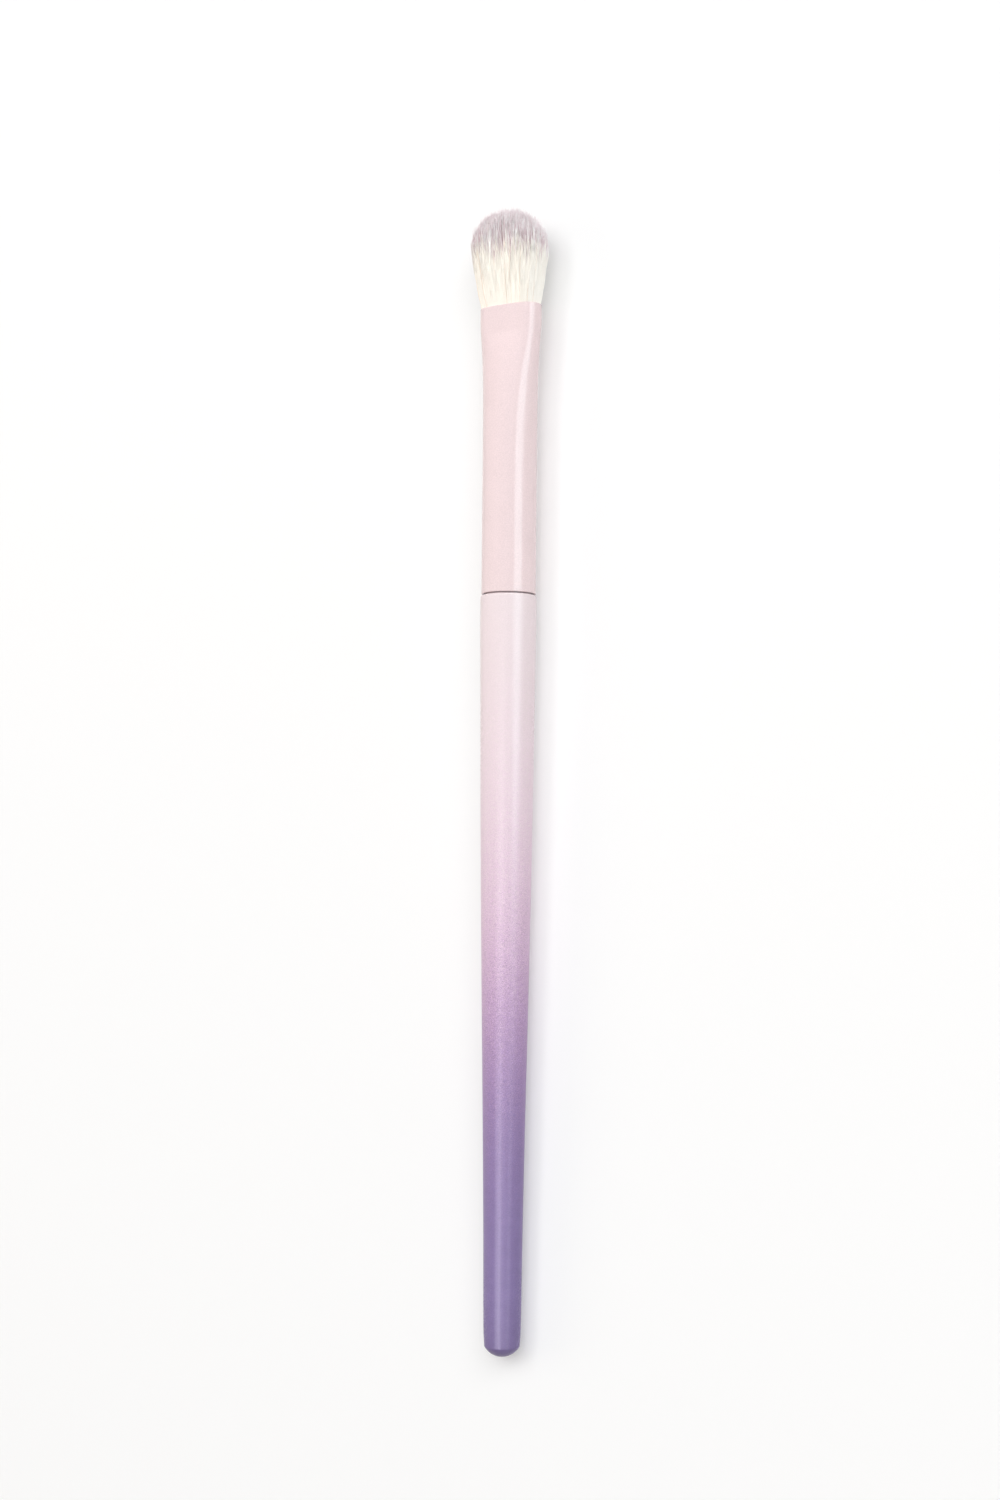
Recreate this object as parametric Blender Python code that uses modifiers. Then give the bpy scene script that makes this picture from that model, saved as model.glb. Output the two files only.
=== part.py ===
"""A flat eye-shadow brush about 170 mm long, lying on a table, in metres with +Z up.

A turned wooden handle with a tenon, a painted metal ferrule that is round at the handle and pressed
flat at its mouth, a domed tuft of bristles, and the two lots of glue inside the ferrule.

Every piece is modelled about its own Z axis, the brush's long axis: z = 0 is the ferrule's lower end,
+z runs to the tuft, x is across the ferrule's flats and y is through them. The empty brush_axis then
lays the brush down with its tuft towards world +Y and its flats up and down.
"""

import math
import random

import bmesh
import bpy
import numpy as np

# Handle
HANDLE_LENGTH = 0.1114  # from the shoulder to the end of the butt
SHOULDER_RADIUS = 0.00418
SHOULDER_ROUNDING = 0.00025
BUTT_RADIUS = 0.00273
BUTT_RIM_RADIUS = 0.0026  # where the end dome starts
BUTT_DOME_HEIGHT = 0.0015
TENON_LENGTH = 0.012
TENON_CHAMFER = 0.0006

# Ferrule
FERRULE_LENGTH = 0.0432
FERRULE_RADIUS = 0.00405  # outside, where the tube is still round
FERRULE_WALL = 0.00035
MOUTH_THICKNESS = 0.0048  # outside, over the two flats
MOUTH_FLAT_LENGTH = 0.0038  # how far the jaws reached along the tube
PRESS_FADE_LENGTH = 0.034  # from the jaws' edge to the round tube

# Tuft
TUFT_LENGTH = 0.0152  # from the mouth to the top of the dome
TUFT_SIDE_LENGTH = 0.0095  # from the mouth to the tips at the two sides
TUFT_WIDTH = 0.0125
TUFT_THICKNESS = 0.006
BRISTLE_RADIUS = 0.0001
BRISTLE_PITCH = 0.00028
BRISTLE_UNEVENNESS = 0.0003

# Glue
ROOT_DEPTH = 0.0006  # from the mouth down to the glued roots
ROOT_SLICE_THICKNESS = 0.0015  # the slice of the roots that the bristles stand on
BONDED_ROOT_LENGTH = 0.008
HANDLE_GLUE_LENGTH = 0.002

# Gaps between neighbours
SEAM_GAP = 0.00025  # the dark line between the ferrule and the handle's shoulder
FIT_GAP = 0.0003  # round and between the pieces inside the ferrule

# Points nearer each other than this are one, where a turned surface meets its axis
MERGE_DISTANCE = 0.000001

# The handle's taper: a share of its length, and the share of its fall in radius that is behind it
HANDLE_TAPER_SHARES = (
    (0.03, 0.0),
    (0.10, 0.06),
    (0.30, 0.22),
    (0.51, 0.475),
    (0.72, 0.755),
    (0.84, 0.89),
    (0.965, 1.0),
)
BALANCE_SHARE = 0.065  # the balance point's distance below the joint, of the handle's length
THIN_DOME_SHARE = 0.4  # how much of the dome's rise is lost from the tuft's middle to its faces
BELLY_SHARE = 0.7  # where along its free length a bristle starts to taper to its point
POINT_SHARE = 0.02  # a bristle's radius at its tip

# Powers that shape a curve
PRESS_FADE_POWER = 4.6
FAN_POWER = 1.7
DOME_POWER = 2.2
MENISCUS_POWER = 4.0
CROWDING_POWER = 1.4  # draws the outlines along the fading press towards the jaws

# Counts
TURNED_STEPS = 26  # even and no multiple of 4, which leaves a facet, not an edge, underneath
DOME_STEPS = 6
ROUNDING_STEPS = 3
SECTION_POINTS = 40
FADE_STEPS = 12
BRISTLE_SIDES = 3
BRISTLE_SEED = 5

# An edge that turns by more than this is drawn sharp
SHARP_ANGLE = math.radians(40)

# Colours, as linear RGB, with roughness and metallic value
FINISHES = {
    "handle": ((0.72, 0.55, 0.72), 0.38, 0.0),
    "ferrule": ((0.86, 0.68, 0.70), 0.35, 0.0),
    "bristle_tuft": ((0.86, 0.80, 0.70), 0.7, 0.0),
    "bonded_root": ((0.75, 0.66, 0.45), 0.4, 0.0),
    "handle_glue": ((0.80, 0.76, 0.62), 0.5, 0.0),
}


def clear_scene():
    for leftover in list(bpy.data.objects):
        bpy.data.objects.remove(leftover, do_unlink=True)


def new_collection(name):
    collection = bpy.data.collections.new(name)
    bpy.context.scene.collection.children.link(collection)
    return collection


def finish_of(name):
    """A Principled BSDF material in the piece's own colour."""
    colour, roughness, metallic = FINISHES[name]
    material = bpy.data.materials.new(name)
    material.use_nodes = True
    shader = material.node_tree.nodes["Principled BSDF"]
    shader.inputs["Base Color"].default_value = (*colour, 1.0)
    shader.inputs["Roughness"].default_value = roughness
    shader.inputs["Metallic"].default_value = metallic
    return material


def add_piece(name, mesh, collection, axis):
    """The mesh as a named piece on the brush's axis, in its own material."""
    piece = bpy.data.objects.new(name, mesh)
    mesh.materials.append(finish_of(name))
    collection.objects.link(piece)
    piece.parent = axis
    return piece


def outline_mesh(name, points):
    """An open outline of (radius, z) points in the XZ plane, for a Screw modifier to turn."""
    shape = bmesh.new()
    corners = [shape.verts.new((radius, 0, z)) for radius, z in points]
    for start, end in zip(corners, corners[1:]):
        shape.edges.new((start, end))
    mesh = bpy.data.meshes.new(name)
    shape.to_mesh(mesh)
    shape.free()
    return mesh


def turn(piece):
    """Turns the piece's outline, which runs down its outer side, about the brush's axis."""
    screw = piece.modifiers.new("turned", "SCREW")
    screw.axis = "Z"
    screw.angle = math.tau
    screw.steps = TURNED_STEPS
    screw.render_steps = TURNED_STEPS
    screw.use_merge_vertices = True
    screw.merge_threshold = MERGE_DISTANCE
    screw.use_smooth_shade = True
    piece.modifiers.new("shading_by_face_area", "WEIGHTED_NORMAL")


def handle_outline():
    """The outside of the handle from its rounded shoulder to the end of its butt, as (radius, z)."""
    shoulder = -SEAM_GAP
    fall = SHOULDER_RADIUS - BUTT_RADIUS
    points = []
    for step in range(ROUNDING_STEPS + 1):
        angle = math.pi / 2 * step / ROUNDING_STEPS
        points.append(
            (
                SHOULDER_RADIUS - SHOULDER_ROUNDING * (1 - math.sin(angle)),
                shoulder - SHOULDER_ROUNDING * (1 - math.cos(angle)),
            )
        )
    for along_share, fall_share in HANDLE_TAPER_SHARES:
        points.append((SHOULDER_RADIUS - fall * fall_share, shoulder - HANDLE_LENGTH * along_share))
    # The end dome is a cap of the sphere through its rim and the butt's end
    sphere_radius = (BUTT_RIM_RADIUS**2 + BUTT_DOME_HEIGHT**2) / (2 * BUTT_DOME_HEIGHT)
    rim_angle = math.asin(BUTT_RIM_RADIUS / sphere_radius)
    centre = shoulder - HANDLE_LENGTH + sphere_radius
    for step in range(DOME_STEPS):
        angle = rim_angle * (1 - step / DOME_STEPS)
        points.append((sphere_radius * math.sin(angle), centre - sphere_radius * math.cos(angle)))
    points.append((0, shoulder - HANDLE_LENGTH))
    return points


def make_handle(collection, axis):
    """One turned piece: the tenon that goes into the ferrule, the shoulder, the taper and the butt."""
    tenon_radius = turned_room(TENON_LENGTH)
    tenon = [
        (0, TENON_LENGTH),
        (tenon_radius - TENON_CHAMFER, TENON_LENGTH),
        (tenon_radius, TENON_LENGTH - TENON_CHAMFER),
        (tenon_radius, -SEAM_GAP),
    ]
    handle = add_piece("handle", outline_mesh("handle", tenon + handle_outline()), collection, axis)
    turn(handle)
    return handle


def make_handle_glue(collection, axis):
    """The slug of glue ahead of the tenon, with a meniscus that climbs the ferrule's wall."""
    bottom = TENON_LENGTH + FIT_GAP
    top = bottom + HANDLE_GLUE_LENGTH
    radius = turned_room(top)
    points = [(0, (bottom + top) / 2)]
    for step in range(1, DOME_STEPS + 1):
        across = step / DOME_STEPS
        climb = HANDLE_GLUE_LENGTH / 2 * across**MENISCUS_POWER
        points.append((radius * across, (bottom + top) / 2 + climb))
    points.append((radius, bottom))
    points.append((0, bottom))
    glue = add_piece("handle_glue", outline_mesh("handle_glue", points), collection, axis)
    turn(glue)
    return glue


def half_thickness_at(z):
    """Half the tube's thickness at z: least between the jaws, growing to its radius where it is round."""
    beyond_jaws = max(0.0, FERRULE_LENGTH - MOUTH_FLAT_LENGTH - z)
    pressing = max(0.0, 1 - beyond_jaws / PRESS_FADE_LENGTH) ** PRESS_FADE_POWER
    return FERRULE_RADIUS - pressing * (FERRULE_RADIUS - MOUTH_THICKNESS / 2)


def turned_room(top):
    """The radius of a turned piece that goes up inside the tube as far as this height."""
    return half_thickness_at(top) - FERRULE_WALL - FIT_GAP


def pressed_section(half_thickness, inset):
    """The tube's outline where it is this thick: two flats and two half circles.

    It is as long round as the round tube. Points are evenly spaced along the outer outline, and the
    inset moves each one straight inwards.
    """
    flat_half = math.pi / 2 * (FERRULE_RADIUS - half_thickness)
    quarter = math.pi / 2 * FERRULE_RADIUS
    outline = []
    for index in range(SECTION_POINTS):
        # The half step keeps the middle of each flat inside a face
        walked = (index + 0.5) / SECTION_POINTS * 4 * quarter
        side = 1 if walked < 2 * quarter else -1
        along = walked % (2 * quarter)
        if along < flat_half:
            x, y = along, half_thickness - inset
        elif along > 2 * quarter - flat_half:
            x, y = 2 * quarter - along, inset - half_thickness
        else:
            angle = (along - flat_half) / half_thickness
            x = flat_half + (half_thickness - inset) * math.sin(angle)
            y = (half_thickness - inset) * math.cos(angle)
        outline.append((side * x, side * y))
    return outline


def pressed_loft(name, heights, inset, ends_filled):
    """A surface through the tube's outlines at these heights, which run upwards."""
    shape = bmesh.new()
    rings = []
    for z in heights:
        outline = pressed_section(half_thickness_at(z), inset)
        rings.append([shape.verts.new((x, y, z)) for x, y in outline])
    for lower, upper in zip(rings, rings[1:]):
        for index in range(SECTION_POINTS):
            following = (index + 1) % SECTION_POINTS
            shape.faces.new((lower[index], upper[index], upper[following], lower[following]))
    if ends_filled:
        shape.faces.new(rings[0])
        shape.faces.new(rings[-1][::-1])
    bmesh.ops.recalc_face_normals(shape, faces=shape.faces)
    mesh = bpy.data.meshes.new(name)
    shape.to_mesh(mesh)
    shape.free()
    mesh.shade_smooth()
    mesh.set_sharp_from_angle(angle=SHARP_ANGLE)
    return mesh


def pressed_heights(bottom, top):
    """The ends, the jaws' edge, and steps through the fading press that crowd towards the jaws."""
    jaws_edge = FERRULE_LENGTH - MOUTH_FLAT_LENGTH
    heights = {bottom, top}
    for step in range(FADE_STEPS + 1):
        z = jaws_edge - PRESS_FADE_LENGTH * (step / FADE_STEPS) ** CROWDING_POWER
        if bottom < z < top:
            heights.add(z)
    return sorted(heights)


def make_ferrule(collection, axis):
    """The tube as an open surface, with its wall inside it."""
    mesh = pressed_loft("ferrule", pressed_heights(0, FERRULE_LENGTH), 0, ends_filled=False)
    ferrule = add_piece("ferrule", mesh, collection, axis)
    wall = ferrule.modifiers.new("wall", "SOLIDIFY")
    wall.thickness = FERRULE_WALL
    wall.offset = -1
    wall.use_even_offset = True
    return ferrule


def make_bonded_root(collection, axis):
    """The glued fibre ends below the slice that the tuft stands on."""
    top = FERRULE_LENGTH - ROOT_DEPTH - ROOT_SLICE_THICKNESS - FIT_GAP
    heights = pressed_heights(top - BONDED_ROOT_LENGTH, top)
    mesh = pressed_loft("bonded_root", heights, FERRULE_WALL + FIT_GAP, ends_filled=True)
    return add_piece("bonded_root", mesh, collection, axis)


def bristle_roots():
    """Where the bristles stand in the mouth, as (x, y): staggered rows that fill it from wall to wall."""
    flat_half = math.pi / 2 * (FERRULE_RADIUS - MOUTH_THICKNESS / 2)
    reach = MOUTH_THICKNESS / 2 - FERRULE_WALL - FIT_GAP - BRISTLE_RADIUS
    row_pitch = BRISTLE_PITCH * math.sqrt(3) / 2
    rows = math.floor(reach / row_pitch)
    roots = []
    for row in range(-rows, rows + 1):
        y = row * row_pitch
        stagger = BRISTLE_PITCH / 2 * (row % 2)
        furthest = flat_half + math.sqrt(reach**2 - y**2)
        columns = math.ceil(furthest / BRISTLE_PITCH)
        for column in range(-columns - 1, columns + 1):
            x = column * BRISTLE_PITCH + stagger
            if abs(x) <= furthest:
                roots.append((x, y))
    return roots


def make_bristles(guides):
    """All the bristles as one mesh of separate pointed rods.

    Each place in the mouth moves out by one fan for the whole tuft, so that neighbours never cross. The
    fan opens fastest at the mouth and is fully open at the sides' tips. The dome rises from the sides to
    the middle.
    """
    chance = random.Random(BRISTLE_SEED)
    roots = bristle_roots()
    half_width, half_thickness = (max(place[across] for place in roots) for across in (0, 1))
    spread_x = (TUFT_WIDTH / 2 - BRISTLE_RADIUS) / half_width - 1
    spread_y = (TUFT_THICKNESS / 2 - BRISTLE_RADIUS) / half_thickness - 1
    curve = bpy.data.curves.new("bristles", "CURVE")
    curve.dimensions = "3D"
    for x, y in roots:
        wide_dome = (1 - min(1.0, abs(x) / half_width) ** DOME_POWER) ** (1 / DOME_POWER)
        thin_dome = 1 - THIN_DOME_SHARE * (y / half_thickness) ** 2
        length = TUFT_SIDE_LENGTH + (TUFT_LENGTH - TUFT_SIDE_LENGTH) * wide_dome * thin_dome
        length -= BRISTLE_UNEVENNESS * chance.random()
        spline = curve.splines.new("POLY")
        stations = (
            (-ROOT_DEPTH - ROOT_SLICE_THICKNESS / 2, 1.0),
            (0, 1.0),
            (length * BELLY_SHARE, 1.0),
            (length, POINT_SHARE),
        )
        spline.points.add(len(stations) - 1)
        for point, (above, radius_share) in zip(spline.points, stations):
            opening = 1 - (1 - min(max(above / TUFT_SIDE_LENGTH, 0.0), 1.0)) ** FAN_POWER
            fanned_x = x * (1 + spread_x * opening)
            fanned_y = y * (1 + spread_y * opening)
            point.co = (fanned_x, fanned_y, FERRULE_LENGTH + above, 1.0)
            point.radius = radius_share
    profile = bristle_profile(guides)
    curve.bevel_mode = "OBJECT"
    curve.bevel_object = profile
    curve.use_fill_caps = True
    return mesh_of_curve("bristles", curve, guides)


def bristle_profile(guides):
    """A bristle's cross-section, a small closed polygon."""
    outline = bpy.data.curves.new("bristle_profile", "CURVE")
    outline.dimensions = "2D"
    spline = outline.splines.new("POLY")
    spline.points.add(BRISTLE_SIDES - 1)
    spline.use_cyclic_u = True
    for index, point in enumerate(spline.points):
        angle = math.tau * index / BRISTLE_SIDES
        point.co = (BRISTLE_RADIUS * math.cos(angle), BRISTLE_RADIUS * math.sin(angle), 0, 1.0)
    profile = bpy.data.objects.new("bristle_profile", outline)
    guides.objects.link(profile)
    profile.hide_render = True
    profile.display_type = "WIRE"
    return profile


def mesh_of_curve(name, curve, guides):
    """The bevelled curve as a closed mesh, for a Boolean. The curve goes."""
    drawn = bpy.data.objects.new(name + "_curve", curve)
    guides.objects.link(drawn)
    bpy.context.view_layer.update()
    graph = bpy.context.evaluated_depsgraph_get()
    mesh = bpy.data.meshes.new_from_object(drawn.evaluated_get(graph))
    shape = bmesh.new()
    shape.from_mesh(mesh)
    bmesh.ops.remove_doubles(shape, verts=shape.verts, dist=2 * BRISTLE_RADIUS * POINT_SHARE)
    bmesh.ops.recalc_face_normals(shape, faces=shape.faces)
    shape.to_mesh(mesh)
    shape.free()
    made = bpy.data.objects.new(name, mesh)
    made.matrix_world = drawn.matrix_world
    guides.objects.link(made)
    made.hide_render = True
    made.display_type = "WIRE"
    bpy.data.objects.remove(drawn, do_unlink=True)
    return made


def make_tuft(collection, guides, axis):
    """The bristles, fused to the top slice of their glued roots."""
    top = FERRULE_LENGTH - ROOT_DEPTH
    mesh = pressed_loft(
        "bristle_tuft", [top - ROOT_SLICE_THICKNESS, top], FERRULE_WALL + FIT_GAP, ends_filled=True
    )
    tuft = add_piece("bristle_tuft", mesh, collection, axis)
    bristles = make_bristles(guides)
    bristles.parent = axis
    fused = tuft.modifiers.new("bristles_fused_to_their_roots", "BOOLEAN")
    fused.operation = "UNION"
    fused.solver = "EXACT"
    fused.object = bristles
    return tuft


def resting_pitch():
    """The angle by which the tuft's end rises when the handle's outline lies on the table.

    Of all lines that join two points of the outline on either side of the balance point, the handle
    rests on the one that is lowest there. The facets make each radius a little less underneath.
    """
    balance = HANDLE_LENGTH * BALANCE_SHARE
    apothem_share = math.cos(math.pi / TURNED_STEPS)
    outline = [(-z, radius * apothem_share) for radius, z in handle_outline()]
    lowest, slope = -math.inf, 0.0
    for near_z, near_radius in outline:
        for far_z, far_radius in outline:
            if near_z < balance < far_z:
                fall = (near_radius - far_radius) / (far_z - near_z)
                below = near_radius - fall * (balance - near_z)
                if below > lowest:
                    lowest, slope = below, fall
    return math.atan(slope)


def lay_down(axis, pieces):
    """Lays the brush on z = 0 with its tuft towards +Y, centred along Y."""
    axis.rotation_euler = (resting_pitch() - math.pi / 2, 0, 0)
    bpy.context.view_layer.update()
    graph = bpy.context.evaluated_depsgraph_get()
    lows, highs = [], []
    for piece in pieces:
        evaluated = piece.evaluated_get(graph)
        mesh = evaluated.to_mesh()
        points = np.empty(len(mesh.vertices) * 3, np.float32)
        mesh.vertices.foreach_get("co", points)
        world = np.array(evaluated.matrix_world)
        placed = points.reshape(-1, 3) @ world[:3, :3].T + world[:3, 3]
        lows.append(placed.min(axis=0))
        highs.append(placed.max(axis=0))
        evaluated.to_mesh_clear()
    low, high = np.min(lows, axis=0), np.max(highs, axis=0)
    axis.location = (0, -(low[1] + high[1]) / 2, -low[2])


def main():
    clear_scene()
    collection = new_collection("makeup_brush")
    guides = new_collection("guides")
    axis = bpy.data.objects.new("brush_axis", None)
    collection.objects.link(axis)
    pieces = [
        make_handle(collection, axis),
        make_handle_glue(collection, axis),
        make_ferrule(collection, axis),
        make_bonded_root(collection, axis),
        make_tuft(collection, guides, axis),
    ]
    lay_down(axis, pieces)


main()
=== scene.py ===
"""The looks of a flat eye-shadow brush that lies on a pale table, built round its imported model.

The handle and the ferrule are made again as fine smooth surfaces, the tuft becomes thousands of single
hairs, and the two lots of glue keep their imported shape. Lengths are in metres.

The brush has its own axes. Along is the brush's long axis, from 0 where the handle meets the ferrule
towards the tuft. Across runs over the ferrule's flats, which is the world's X. Up is square to both.
"""

import math
from functools import cached_property
from typing import NamedTuple

import bpy
import numpy as np
from bpy.props import FloatProperty, FloatVectorProperty, IntProperty, PointerProperty
from mathutils import Matrix, Vector


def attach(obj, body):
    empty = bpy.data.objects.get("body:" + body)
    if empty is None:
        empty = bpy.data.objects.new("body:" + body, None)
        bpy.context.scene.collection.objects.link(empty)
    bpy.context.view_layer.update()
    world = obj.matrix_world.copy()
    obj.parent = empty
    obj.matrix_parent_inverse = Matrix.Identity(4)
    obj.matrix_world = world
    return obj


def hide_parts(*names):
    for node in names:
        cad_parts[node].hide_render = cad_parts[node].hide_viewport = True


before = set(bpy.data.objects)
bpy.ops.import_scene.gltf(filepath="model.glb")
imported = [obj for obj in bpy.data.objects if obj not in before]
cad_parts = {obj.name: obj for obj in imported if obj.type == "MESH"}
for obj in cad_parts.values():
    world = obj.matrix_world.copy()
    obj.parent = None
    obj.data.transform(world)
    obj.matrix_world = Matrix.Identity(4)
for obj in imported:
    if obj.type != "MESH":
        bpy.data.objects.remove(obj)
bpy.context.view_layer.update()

bl_info = {
    "name": "Makeup Brush",
    "version": (1, 0, 0),
    "blender": (4, 5, 0),
    "location": "3D View > Sidebar > Makeup Brush",
    "description": "Dresses a flat eye-shadow brush and sets the table that it lies on",
    "category": "Add Mesh",
}

BODY = "root"
WHITE = (1.0, 1.0, 1.0)
END_RING_DEPTH = 0.0002  # the ferrule's end rings lean by less than this along Y
SAME_RING = 0.000002  # heights nearer each other than this belong to one turned ring
DOME_RING_RATIO = 5  # rings on the taper stand over this many times farther apart than on the dome
SHARP_ANGLE = math.radians(35)


# The brush's own axes, read from the ferrule's two ends


def node_points(name):
    """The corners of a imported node, one row each."""
    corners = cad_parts[name].data.vertices
    points = np.empty(len(corners) * 3, np.float32)
    corners.foreach_get("co", points)
    return points.reshape(-1, 3).astype(float)


def end_middle(points, end):
    """The middle of the box round the ring of corners at one end along Y."""
    ring = points[np.abs(points[:, 1] - end(points[:, 1])) < END_RING_DEPTH]
    return (ring.min(axis=0) + ring.max(axis=0)) / 2


JOINT = end_middle(node_points("ferrule"), np.min)
MOUTH = end_middle(node_points("ferrule"), np.max)
FERRULE_LENGTH = float(np.linalg.norm(MOUTH - JOINT))
ALONG = (MOUTH - JOINT) / FERRULE_LENGTH
ACROSS = np.array((1.0, 0.0, 0.0))
UP = np.cross(ACROSS, ALONG)


def placed(across, up, along):
    """World points from three equal arrays of distances on the brush's own axes."""
    parts = (across, ACROSS), (up, UP), (along, ALONG)
    return JOINT + sum(np.asarray(far)[..., None] * axis for far, axis in parts)


def turned_rings(name):
    """The outline of a turned node, as rising heights and the widest radius at each."""
    offsets = node_points(name) - JOINT
    along = offsets @ ALONG
    radius = np.hypot(offsets @ ACROSS, offsets @ UP)
    order = np.argsort(along)
    ring = np.concatenate(([0], np.cumsum(np.diff(along[order]) > SAME_RING)))
    heights = np.zeros(ring[-1] + 1)
    radii = np.zeros(ring[-1] + 1)
    heights[ring] = along[order]
    np.maximum.at(radii, ring, radius[order])
    return heights, radii


# Settings


def setting(kind, **fixed):
    """A maker of settings of one kind, each from its name, its description and its default."""

    def made(name, description, default):
        return kind(name=name, description=description, default=default, **fixed)

    return made


metres = setting(FloatProperty, unit="LENGTH")
radians = setting(FloatProperty, subtype="ANGLE")
share = setting(FloatProperty, subtype="FACTOR", min=0.0, max=1.0)
number = setting(FloatProperty)
tint = setting(FloatVectorProperty, subtype="COLOR", size=3, min=0.0, max=1.0)
whole = setting(IntProperty, min=3)


# Meshes


def closed_mesh(name, points, quads, triangles):
    """A mesh whose faces are all turned outwards, told by the sign of the volume that they close."""
    cut = np.concatenate((quads[:, (0, 1, 2)], quads[:, (0, 2, 3)], triangles))
    first, second, third = (points[cut[:, corner]] for corner in range(3))
    if np.einsum("ij,ij->", first, np.cross(second, third)) < 0:
        quads, triangles = quads[:, ::-1], triangles[:, ::-1]
    mesh = bpy.data.meshes.new(name)
    mesh.vertices.add(len(points))
    mesh.vertices.foreach_set("co", points.astype(np.float32).ravel())
    corners = np.concatenate((quads.ravel(), triangles.ravel())).astype(np.int32)
    sizes = np.repeat((4, 3), (len(quads), len(triangles)))
    mesh.loops.add(len(corners))
    mesh.loops.foreach_set("vertex_index", corners)
    mesh.polygons.add(len(sizes))
    mesh.polygons.foreach_set("loop_start", (np.cumsum(sizes) - sizes).astype(np.int32))
    mesh.update(calc_edges=True)
    mesh.shade_smooth()
    mesh.set_sharp_from_angle(angle=SHARP_ANGLE)
    return mesh


def rings_to_faces(rows, columns, rows_closed):
    """Four-cornered faces between neighbouring points of a grid whose columns run right round."""
    last = rows if rows_closed else rows - 1
    row, column = np.meshgrid(np.arange(last), np.arange(columns), indexing="ij")
    below = (row + 1) % rows
    beside = (column + 1) % columns
    corners = (row, column), (row, beside), (below, beside), (below, column)
    return np.stack([r * columns + c for r, c in corners], axis=-1).reshape(-1, 4)


def capped_mesh(name, rings, first_pole, last_pole):
    """A closed surface over a grid of rings, with a fan of triangles to a pole at each end."""
    rows, columns = rings.shape[:2]
    points = np.concatenate((rings.reshape(-1, 3), [first_pole, last_pole]))
    start = np.arange(columns)
    after = (start + 1) % columns
    base = (rows - 1) * columns
    pole = np.full(columns, rows * columns)
    first_fan = np.stack((pole, after, start), axis=-1)
    last_fan = np.stack((pole + 1, base + start, base + after), axis=-1)
    fans = np.concatenate((first_fan, last_fan))
    return closed_mesh(name, points, rings_to_faces(rows, columns, False), fans)


def carry(mesh, name, values):
    """Puts one number on each corner of the mesh, for its material."""
    layer = mesh.attributes.new(name, "FLOAT", "POINT")
    layer.data.foreach_set("value", np.asarray(values, np.float32).ravel())


def add_piece(mesh, finish, replaced):
    """The mesh as a piece of the brush, in its finish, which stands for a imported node."""
    piece = bpy.data.objects.new(mesh.name, mesh)
    mesh.materials.append(finish)
    bpy.context.scene.collection.objects.link(piece)
    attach(piece, BODY)
    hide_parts(replaced)


def soft_ramp(distance, softness):
    """Near 0 below 0 and near the distance above it, with a bend as wide as the softness."""
    return (distance + np.sqrt(distance**2 + softness**2)) / 2


def smooth_through(knots, values, places):
    """A smooth curve through the values at rising knots that adds no bump of its own.

    Each knot's slope is the harmonic mean of the slopes beside it, or level at a turn, and cubic
    pieces join the knots.
    """
    steps = np.diff(knots)
    slopes = np.diff(values) / steps
    product = slopes[:-1] * slopes[1:]
    total = slopes[:-1] + slopes[1:]
    inner = np.where(product > 0, 2 * product / np.where(total == 0, 1, total), 0)
    tangents = np.concatenate(([slopes[0]], inner, [slopes[-1]]))
    piece = np.clip(np.searchsorted(knots, places, side="right") - 1, 0, len(steps) - 1)
    step = steps[piece]
    on = (places - knots[piece]) / step
    back = 1 - on
    start = (1 + 2 * on) * back**2 * values[piece] + on * back**2 * step * tangents[piece]
    end = on**2 * (3 - 2 * on) * values[piece + 1]
    return start + end - on**2 * back * step * tangents[piece + 1]


def eased(before, corner, after, reach, steps):
    """A parabola that leaves one side and meets the other at this reach from their corner."""
    before, corner, after = (np.array(point, float) for point in (before, corner, after))
    near = corner + (before - corner) * reach / np.linalg.norm(before - corner)
    far = corner + (after - corner) * reach / np.linalg.norm(after - corner)
    on = np.linspace(0, 1, steps + 1)[:, None]
    return (1 - on) ** 2 * near + 2 * on * (1 - on) * corner + on**2 * far


# Materials

RAYS_SEEN = ("Camera", "Glossy", "Transmission")


class Socket:
    """A node's output. Arithmetic on it adds Math nodes beside that node."""

    def __init__(self, nodes, output):
        self.nodes = nodes
        self.output = output

    def maths(self, operation, *operands):
        """The result of a Math node on these numbers or outputs."""
        return self.nodes.node("ShaderNodeMath", {"operation": operation}, dict(enumerate(operands)))

    def clamped(self):
        """The same number, but no less than 0 and no more than 1."""
        return self.nodes.node("ShaderNodeClamp", {}, {"Value": self}, "Result")

    def __add__(self, other):
        return self.maths("ADD", self, other)

    def __sub__(self, other):
        return self.maths("SUBTRACT", self, other)

    def __rsub__(self, other):
        return self.maths("SUBTRACT", other, self)

    def __mul__(self, other):
        return self.maths("MULTIPLY", self, other)

    def __truediv__(self, other):
        return self.maths("DIVIDE", self, other)

    __radd__ = __add__
    __rmul__ = __mul__


class Nodes:
    """The nodes of a material or of the world, as they are built."""

    def __init__(self, owner):
        owner.use_nodes = True
        self.tree = owner.node_tree

    def feed(self, socket, value):
        """Puts a value on a socket, or links an output to it."""
        if isinstance(value, Socket):
            self.tree.links.new(value.output, socket)
        elif socket.type == "RGBA" and len(value) == 3:
            socket.default_value = (*value, 1.0)
        else:
            socket.default_value = value

    def node(self, kind, settings, inputs, output=0):
        """Any node: its settings first, then its inputs by name or number, and one of its outputs."""
        made = self.tree.nodes.new(kind)
        for name, value in settings.items():
            setattr(made, name, value)
        for name, value in inputs.items():
            self.feed(made.inputs[name], value)
        return Socket(self, made.outputs[output])

    def seen(self):
        """1 where the camera, a shine or glass looks, and 0 where soft light falls."""
        return sum(self.node("ShaderNodeLightPath", {}, {}, "Is %s Ray" % kind) for kind in RAYS_SEEN)


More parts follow.
